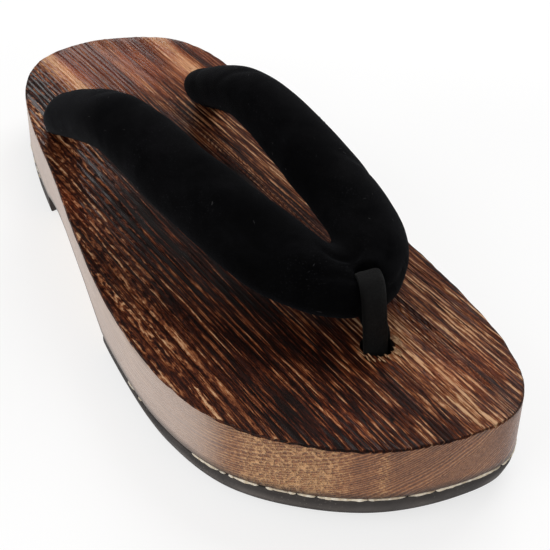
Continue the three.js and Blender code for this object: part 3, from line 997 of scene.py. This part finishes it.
def arm_point(side, t, angle, shrink=0.0):
    """The arm's surface: an ellipse square to the centre line, its broad axis leaning outwards.
    Angle 0 is the outer edge and 90 degrees the top."""
    slip = 0.004
    pick = [0, 1, 4] if side == "left" else [2, 3, 4]
    row = table_at(ARM_ROWS, t)
    along = unit(table_at(ARM_ROWS, t + slip)[..., pick] - table_at(ARM_ROWS, t - slip)[..., pick])
    turn = 1 if side == "left" else -1
    outward = unit(np.cross(along, (0, 0, 1))) * turn
    upward = np.cross(outward, along) * turn
    lean = np.radians(row[..., 7:8])
    broad = outward * np.cos(lean) - upward * np.sin(lean)
    thick = upward * np.cos(lean) + outward * np.sin(lean)
    half_w, half_t = row[..., 5:6] - shrink, row[..., 6:7] - shrink
    cos, sin = np.cos(angle)[..., None], np.sin(angle)[..., None]
    return row[..., pick] + broad * half_w * cos + thick * half_t * sin


def thong_path(per_span=14):
    route = curve_through(THONG_ROUTE, per_span, closed=False)
    route[:, 0] += FRONT_HOLE[0]
    return route


def band_loops(half_width, half_thick, path, sides=20):
    """A flat band with rounded edges carried along a path; its width stays level. Also the
    band's facing at each step, and each side's place across and through the band."""
    along = unit(np.gradient(path, axis=0))
    wide = unit(np.array([1.0, 0, 0]) - along * along[:, :1])
    face = np.cross(along, wide)
    cos, sin = np.cos(full_turn(sides)), np.sin(full_turn(sides))
    across = np.sign(cos) * np.abs(cos) ** 0.6 * half_width
    through = np.sign(sin) * np.abs(sin) ** 0.7 * half_thick
    loops = path[:, None] + wide[:, None] * across[:, None] + face[:, None] * through[:, None]
    return loops, face, across, through


def strap_shape():
    """Both arms and their tails as closed tubes in one mesh, to be fused."""
    t = np.linspace(0, 1, ARM_ROW_COUNT)[:, None]
    t, angle = np.broadcast_arrays(t, full_turn(ARM_SIDES)[None, :])
    arms = np.array([arm_point(side, t, angle, TUCK) for side in SIDES])
    points, faces = many_tubes(arms)
    levels = np.linspace(TAIL_BOTTOM + 0.5, top_height(REAR_HOLES[0][1]) + 3.5, 6)
    turn, radius = full_turn(20), TAIL_R - 0.5
    circle = np.stack([radius * np.cos(turn), radius * np.sin(turn)], -1)
    tails = np.array([[np.column_stack([circle + hole, 0 * turn + z]) for z in levels]
                      for hole in REAR_HOLES])
    tail_points, tail_faces = many_tubes(tails)
    faces += [[v + len(points) for v in face] for face in tail_faces]
    return new_mesh("padded_strap", np.vstack([points, tail_points]), faces)


def fused_strap():
    """The tubes fused into one skin, with a slot left where the thong passes."""
    piece = new_piece(strap_shape(), [])
    loops = band_loops(THONG_WIDTH / 2 + 0.9, THONG_THICK / 2 + 1.0, thong_path())[0]
    slot = new_piece(new_mesh("thong_room", *many_tubes(loops[None])), [])
    for label in ("fuse", "even"):
        if label == "even":
            taken_out(piece, "room", slot)
        remesh = piece.modifiers.new(label, "REMESH")
        remesh.mode, remesh.voxel_size = "VOXEL", VOXEL * MM
    applied(piece)
    bpy.data.objects.remove(slot)
    return piece


def held(points):
    """1 where the cover can't swell: the tails in their holes; 0 on the free arms."""
    return 1 - ease(0.5, HOLD_ABOVE_BED, points[:, 2] - top_height(points[:, 1]))


def puff(piece):
    """Blows the cover up with cloth pressure, then limits how far it moved."""
    start = coordinates(piece.data)
    pins = piece.vertex_groups.new(name="held")
    grip = held(start)
    for level in (0.25, 0.5, 0.75, 1.0):
        pins.add(np.flatnonzero(grip >= level).tolist(), level, "REPLACE")
    cloth = piece.modifiers.new("puff", "CLOTH")
    cloth.settings.use_pressure = True
    cloth.settings.uniform_pressure_force = PUFF_PRESSURE
    cloth.settings.effector_weights.gravity = 0
    cloth.settings.quality = 6
    cloth.settings.mass = 0.2
    cloth.settings.tension_stiffness = cloth.settings.compression_stiffness = PUFF_STIFFNESS
    cloth.settings.vertex_group_mass = pins.name
    cloth.collision_settings.use_collision = False
    cloth.point_cache.frame_start, cloth.point_cache.frame_end = 1, PUFF_FRAMES
    for number in range(1, PUFF_FRAMES + 1):
        bpy.context.scene.frame_set(number)
    mesh = applied(piece)
    bpy.context.scene.frame_set(1)
    moved = coordinates(mesh) - start
    far = np.linalg.norm(moved, axis=1, keepdims=True)
    move_to(mesh, start + moved * np.minimum(1, PUFF_CAP / np.maximum(far, 1e-6)))
    piece.vertex_groups.clear()


# Creases: side, start and end along the arm, start and end angle in degrees, depth, breadth.
STRAP_CREASES = (
    [(side, 0.05, 0.26, a, a + 14, 0.8, 1.3) for side in SIDES for a in range(10, 360, 52)]
    + [(side, 0.84, 0.99, a, a - 10, 1.0, 1.6) for side in SIDES for a in (35, 80, 125, 200, 300)]
    + [("left", 0.36, 0.40, 100, 190, 0.5, 2.0), ("left", 0.47, 0.50, 110, 200, 0.4, 2.2),
       ("right", 0.37, 0.40, 95, 185, 0.5, 2.0), ("right", 0.50, 0.47, 100, 190, 0.4, 2.2),
       ("left", 0.62, 0.66, 20, 95, 0.35, 2.6), ("right", 0.70, 0.66, 30, 110, 0.4, 2.4)]
    + [(side, 0.2, 0.82, 262, 268, 0.7, 1.1) for side in SIDES]
)


def creased(mesh):
    """Pushes the skin in along each crease by depth x exp(-(distance / breadth) squared)."""
    points, outward = coordinates(mesh), normals(mesh)
    push = np.zeros(len(points))
    run = np.linspace(0, 1, 26)
    for side, t_from, t_to, a_from, a_to, depth, breadth in STRAP_CREASES:
        angle = np.radians(a_from + (a_to - a_from) * run)
        line = arm_point(side, t_from + (t_to - t_from) * run, angle)
        gap = np.linalg.norm(points[:, None] - line[None], axis=2)
        nearest = gap.argmin(1)
        fade = np.sin(np.pi * np.clip(run[nearest], 0.04, 0.96)) ** 0.5
        push = np.maximum(push, depth * fade * np.exp(-(gap.min(1) / breadth) ** 2))
    lumps = 0.22 * noise2(81, points[:, 1] / 9 + 40, (points[:, 0] + points[:, 2]) / 9 + 40)
    free = 1 - held(points)
    points -= outward * ((push + lumps * 0.8) * free)[:, None]
    low = top_height(points[:, 1]) + 0.3
    near_hole = np.min([np.hypot(points[:, 0] - x, points[:, 1] - y) for x, y in REAR_HOLES], axis=0)
    lift = (near_hole > REAR_HOLE_R - 0.3) & (points[:, 2] < low)
    points[:, 2] = np.where(lift, low, points[:, 2])
    move_to(mesh, points)


def padded_strap():
    piece = fused_strap()
    puff(piece)
    smooth = piece.modifiers.new("settle", "SMOOTH")
    smooth.factor, smooth.iterations = 0.5, 4
    finer = piece.modifiers.new("finer", "SUBSURF")
    finer.levels = finer.render_levels = 1
    creased(applied(piece))
    piece.data.materials.append(velvet_material())
    shade_smooth(piece.data)
    attach(piece, "strap_velvet", "strap_upper")
    return piece


# ---- Thong ----

def thong_band():
    """The band along its route, thinned and thickened a little, with a lengthwise fold."""
    path = thong_path()
    loops, face, across, through = band_loops(THONG_WIDTH / 2, THONG_THICK / 2, path, 28)
    run = np.concatenate([[0], np.cumsum(np.linalg.norm(np.diff(path, axis=0), axis=1))])
    fold = 0.24 * np.exp(-((across - 0.7) / 0.55) ** 2) * np.sign(through)
    ripple = 0.12 * noise2(91, run[:, None] / 3.2 + 0 * across, across[None] / 1.6 + 20)
    loops = loops + face[:, None] * (ripple - fold[None])[..., None]
    mesh = new_mesh("thong_band", *many_tubes(loops[None]))
    lay_band_uv(mesh, run, across)
    return attach(new_piece(mesh, [satin_material()], 60), "thong_band", "toe_thong")


def lay_band_uv(mesh, run, across):
    """UV map of the band, in centimetres: length along it, and place across it."""
    table = np.stack(np.broadcast_arrays(run[:, None], across[None]), -1).reshape(-1, 2) / 10
    corner = np.empty(len(mesh.loops), np.int32)
    mesh.loops.foreach_get("vertex_index", corner)
    mesh.uv_layers.new(name="band").data.foreach_set("uv", table[corner].astype(np.float32).ravel())


# ---- Small things ----

def spindles(name, rng, centre, direction, lift, *ranges):
    """A mesh of closed spindles: four-sided, pointed at both ends, lying along their
    directions. The ranges are for their half lengths, breadths and heights."""
    count = len(centre)
    length, breadth, height = (rng.uniform(*limits, (count, 1, 1)) for limits in ranges)
    t = np.array([-1.0, -0.45, 0.4, 1.0])
    girth = np.array([0.02, 1.0, 0.8, 0.02])
    side = unit(np.cross(direction, lift))
    ring = np.array([(1, 0), (0, 1), (-1, 0), (0, -1)], float)
    place = centre[:, None] + direction[:, None] * (t[None, :, None] * length)
    place = place + lift[:, None] * (0.25 * height * (1 - t**2)[None, :, None])
    wide = side[:, None, None] * (ring[:, 0] * girth[:, None])[None, ..., None] * breadth[..., None]
    tall = lift[:, None, None] * (ring[:, 1] * girth[:, None])[None, ..., None] * height[..., None]
    return new_mesh(name, *many_tubes(place[:, :, None] + wide + tall))


def hole_splinters(count=34):
    """Torn fibres round the front hole, mostly on its toe and big-toe sides."""
    rng = np.random.default_rng(101)
    turn = np.radians(rng.normal(-40, 60, count))
    reach = FRONT_HOLE_R + rng.uniform(0.1, 2.4, count)
    x, y = FRONT_HOLE[0] + reach * np.cos(turn), FRONT_HOLE[1] + reach * np.sin(turn)
    place = np.column_stack([x, y, top_height(y) - 0.12])
    lean = rng.normal(-GRAIN_LEAN, 0.12, count)
    direction = unit(np.column_stack([lean, np.ones(count), rng.normal(0, 0.05, count)]))
    mesh = spindles("hole_splinters", rng, place, direction, np.tile([0.0, 0, 1], (count, 1)),
                    (0.7, 2.4), (0.12, 0.34), (0.12, 0.3))
    return attach(new_piece(mesh, [grainy_material("splinter")], 20), "scorched_wood")


def lint_on(strap, count=110):
    """Short loose fibres caught in the velvet, spread evenly over the skin."""
    rng = np.random.default_rng(111)
    points, outward = coordinates(strap.data), normals(strap.data)
    free = np.flatnonzero(held(points) < 0.2)
    pick = rng.choice(free, count, replace=False)
    away = unit(outward[pick])
    direction = unit(np.cross(away, unit(rng.normal(0, 1, (count, 3)))))
    mesh = spindles("lint", rng, points[pick] + away * 0.08, direction, away,
                    (0.2, 0.9), (0.03, 0.06), (0.03, 0.06))
    return attach(new_piece(mesh, [grainy_material("lint")], 60), "strap_velvet")


# ---- Studio ----

CAMERA_PLACE = (-0.12663, -0.33515, 0.25815)
CAMERA_AHEAD = (0.32574, 0.73878, -0.59000)
CAMERA_ROLL_DEG = 1.116
CAMERA_LENS = 81.25

# Lamps: name, place and size in metres, power in watts.
LAMPS = (
    ("key", (0.7, 0.5, 1.0), 0.8, 7), ("fill", (-1.0, -0.3, 0.6), 0.9, 5),
    ("back", (0.28, 1.08, 0.50), 0.2, 1.1),
)
ROOM_COLOUR, ROOM_STRENGTH = (1.0, 0.995, 0.985, 1), 0.42
FLOOR_REACH, FLOOR_Z = 4000, -0.2


def studio():
    """A pale floor, a bright even room, a soft key from behind on the right, a soft fill and a
    small lamp low behind."""
    scene = bpy.context.scene
    scene.view_settings.view_transform = "Standard"
    eye = bpy.data.objects.new("camera", bpy.data.cameras.new("camera"))
    scene.collection.objects.link(eye)
    eye.data.lens, eye.data.sensor_width = CAMERA_LENS, 36
    eye.data.clip_start, eye.data.clip_end = 0.01, 20
    eye.location = CAMERA_PLACE
    eye.rotation_mode = "QUATERNION"
    level = Vector(CAMERA_AHEAD).to_track_quat("-Z", "Y")
    eye.rotation_quaternion = level @ Quaternion((0, 0, 1), math.radians(CAMERA_ROLL_DEG))
    scene.camera = eye

    world = bpy.data.worlds.new("room")
    world.use_nodes = True
    background = world.node_tree.nodes["Background"].inputs
    background[0].default_value, background[1].default_value = ROOM_COLOUR, ROOM_STRENGTH
    scene.world = world
    for name, place, size, power in LAMPS:
        lamp = bpy.data.objects.new(name, bpy.data.lights.new(name, "AREA"))
        lamp.data.size, lamp.data.energy = size, power
        lamp.location = place
        lamp.rotation_euler = (-Vector(place)).to_track_quat("-Z", "Y").to_euler()
        scene.collection.objects.link(lamp)

    corners = FLOOR_REACH * np.array([(-1, -1, 0), (1, -1, 0), (1, 1, 0), (-1, 1, 0)]) + (0, 0, FLOOR_Z)
    mesh = bpy.data.meshes.new("floor")
    mesh.from_pydata((corners * MM).tolist(), [], [(0, 1, 2, 3)])
    paper, tree = new_material(
        "floor_paper", Roughness=0.9, Specular_IOR_Level=0.1, Emission_Strength=0.8)
    shade = noise(own_point(tree), 3.0, 2.0)
    white = tones(shade, (0.3, (0.32, 0.32, 0.32, 1)), (0.7, (0.34, 0.34, 0.34, 1)))
    glow = tones(shade, (0.3, (0.87, 0.87, 0.87, 1)), (0.7, (0.90, 0.90, 0.90, 1)))
    mesh.materials.append(feed(paper, Base_Color=white, Emission_Color=glow))
    floor = bpy.data.objects.new("floor", mesh)
    scene.collection.objects.link(floor)


# ---- Assembly ----

studio()
wood_block()
tread("forefoot_tread", "forefoot_pad", FORE_PAD_BEVEL, FORE_PAD_REAR_Y, False,
      studs(-HALF, FORE_PAD_REAR_Y - 4, 2.9, 2.5, 0.72, 0.72, 32, 6.0))
tread("heel_tread", "heel_pad", HEEL_PAD_BEVEL, HEEL_PAD_FRONT_Y, True,
      studs(HEEL_PAD_FRONT_Y + 2.5, HALF, 5.0, 2.2, 2.2, 0.6, 32, 3.4))
glue_line()
strap = padded_strap()
thong_band()
hole_splinters()
lint_on(strap)
